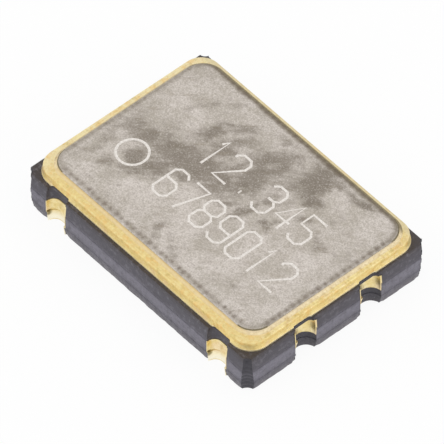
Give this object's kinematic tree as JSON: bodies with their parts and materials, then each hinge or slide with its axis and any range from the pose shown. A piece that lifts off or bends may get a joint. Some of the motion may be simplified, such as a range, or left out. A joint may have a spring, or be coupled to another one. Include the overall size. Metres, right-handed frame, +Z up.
{
  "type": "crystal oscillator",
  "caption": "Surface-mount crystal oscillator: dark ceramic body with plated notches, gold seal ring and welded flat metal lid.",
  "frame": {"origin": "on the board plane, under the middle of the ceramic body", "axes": "+Z up out of the board through the lid, +X along the long side, +Y along the short side; the corner with terminal 1 is at -X, -Y"},
  "size_m": [0.007, 0.005, 0.0014],
  "materials": {
    "ceramic": null,
    "seal_gold": "soft gold plating over nickel, satin",
    "weld": "fused gold and nickel plating",
    "lid_metal": "nickel-plated iron-nickel alloy, grained, mottled",
    "terminal_gold": "gold plating, bright",
    "quartz": "lapped quartz, frosted",
    "silver_film": "evaporated silver, bright",
    "silver_adhesive": "silver-filled adhesive, matt",
    "inner_gold": "gold, soft sheen",
    "rest_metal": "fired printed metal, matt",
    "silicon": null
  },
  "bodies": {
    "root": {"ceramic_base": "ceramic", "seal_frame": "seal_gold", "seal_ring": "seal_gold", "weld_fillet": "weld", "lid": "lid_metal", "terminal_1": "terminal_gold", "terminal_2": "terminal_gold", "terminal_3": "terminal_gold", "terminal_4": "terminal_gold", "side_contact_1": "terminal_gold", "side_contact_2": "terminal_gold", "side_contact_3": "terminal_gold", "side_contact_4": "terminal_gold", "crystal_blank": "quartz", "electrode_top": "silver_film", "electrode_bottom": "silver_film", "crystal_pad_1": "inner_gold", "crystal_pad_2": "inner_gold", "adhesive_spot_1": "silver_adhesive", "adhesive_spot_2": "silver_adhesive", "crystal_rest": "rest_metal", "die_pad": "inner_gold", "die_attach": "silver_adhesive", "oscillator_die": "silicon", "bond_fingers": "inner_gold", "bond_wires": "inner_gold"}
  },
  "joints": []
}
